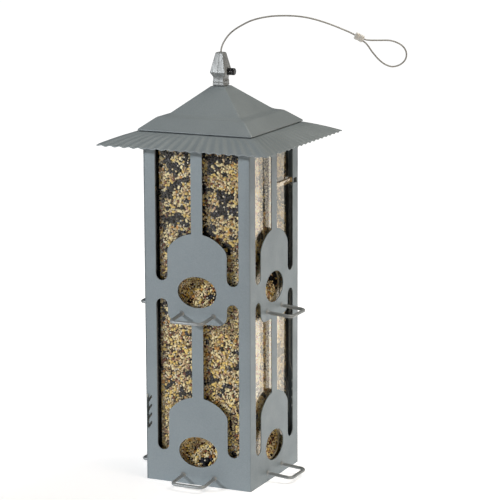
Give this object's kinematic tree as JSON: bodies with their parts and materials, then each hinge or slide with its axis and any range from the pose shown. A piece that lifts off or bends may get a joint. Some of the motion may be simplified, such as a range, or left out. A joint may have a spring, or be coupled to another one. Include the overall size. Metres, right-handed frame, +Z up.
{
  "type": "hanging bird feeder",
  "caption": "Square hanging seed feeder: clear hopper in a windowed steel body that slides down under weight, with seed ports, wire perches, a stepped roof and a looped cable.",
  "frame": {"origin": "centre of the square body's foot, on the surface it stands on", "axes": "+Z up, -Y out of the front face, +X towards the side with the roof's button"},
  "size_m": [0.2914, 0.2064, 0.5243],
  "materials": {
    "body_paint": "satin grey, lightly hammered",
    "roof_paint": "satin grey, lightly hammered",
    "perch_wire": "satin grey",
    "cast_metal": "painted casting",
    "aluminium": "satin",
    "spring_steel": "bright",
    "cable_steel": "stranded",
    "clear_plastic": "clear",
    "black_plastic": "gloss",
    "grey_plastic": "matt",
    "seed": "loose mixed grain"
  },
  "bodies": {
    "shroud": {"shroud_front_right": "body_paint", "shroud_back_left": "body_paint", "seam_angle_front_lower": "body_paint", "seam_angle_front_upper": "body_paint", "seam_angle_back_lower": "body_paint", "seam_angle_back_upper": "body_paint", "perch_front_lower": "perch_wire", "perch_right_lower": "perch_wire", "perch_back_lower": "perch_wire", "perch_left_lower": "perch_wire", "perch_front_upper": "perch_wire", "perch_right_upper": "perch_wire", "perch_back_upper": "perch_wire", "perch_left_upper": "perch_wire", "weight_spring_front": "spring_steel", "weight_spring_back": "spring_steel"},
    "hopper": {"hopper_tube": "clear_plastic", "hopper_base": "grey_plastic", "cable_anchor": "aluminium", "cable_guide_tube": "aluminium", "cable_crossbar": "aluminium", "port_baffle_front_lower": "clear_plastic", "port_baffle_right_lower": "clear_plastic", "port_baffle_back_lower": "clear_plastic", "port_baffle_left_lower": "clear_plastic", "port_baffle_front_upper": "clear_plastic", "port_baffle_right_upper": "clear_plastic", "port_baffle_back_upper": "clear_plastic", "port_baffle_left_upper": "clear_plastic", "spring_lug_front": "clear_plastic", "spring_lug_back": "clear_plastic", "seed_fill": "seed"},
    "hook_front": {"weight_hook_front": "spring_steel"},
    "hook_back": {"weight_hook_back": "spring_steel"},
    "roof": {"roof_skirt": "roof_paint", "roof_cap": "roof_paint", "roof_stem": "aluminium", "roof_nut": "spring_steel", "finial": "cast_metal", "button_spring": "spring_steel", "inner_cable": "cable_steel", "hanging_cable": "cable_steel", "cable_loop": "cable_steel", "cable_ferrule": "aluminium"},
    "button": {"lock_button": "black_plastic"}
  },
  "joints": [
    {"name": "weight_travel", "type": "slide", "parent": "shroud", "child": "hopper", "axis": [0, 0, 1], "range_m": [0, 0.036], "stiffness_N_per_m": 110, "springref_m": -0.086, "deforming": ["weight_spring_front", "weight_spring_back"]},
    {"name": "roof_lift", "type": "slide", "parent": "hopper", "child": "roof", "axis": [0, 0, 1], "range_m": [0, 0.12]},
    {"name": "button_press", "type": "slide", "parent": "roof", "child": "button", "axis": [-1, 0, 0], "range_m": [0, 0.0025], "stiffness_N_per_m": 400, "springref_m": -0.002, "deforming": ["button_spring"]},
    {"name": "weight_setting_front", "type": "slide", "parent": "shroud", "child": "hook_front", "axis": [0, 0, 1], "range_m": [-0.03, 0]},
    {"name": "weight_setting_back", "type": "slide", "parent": "shroud", "child": "hook_back", "axis": [0, 0, 1], "range_m": [-0.03, 0]}
  ]
}
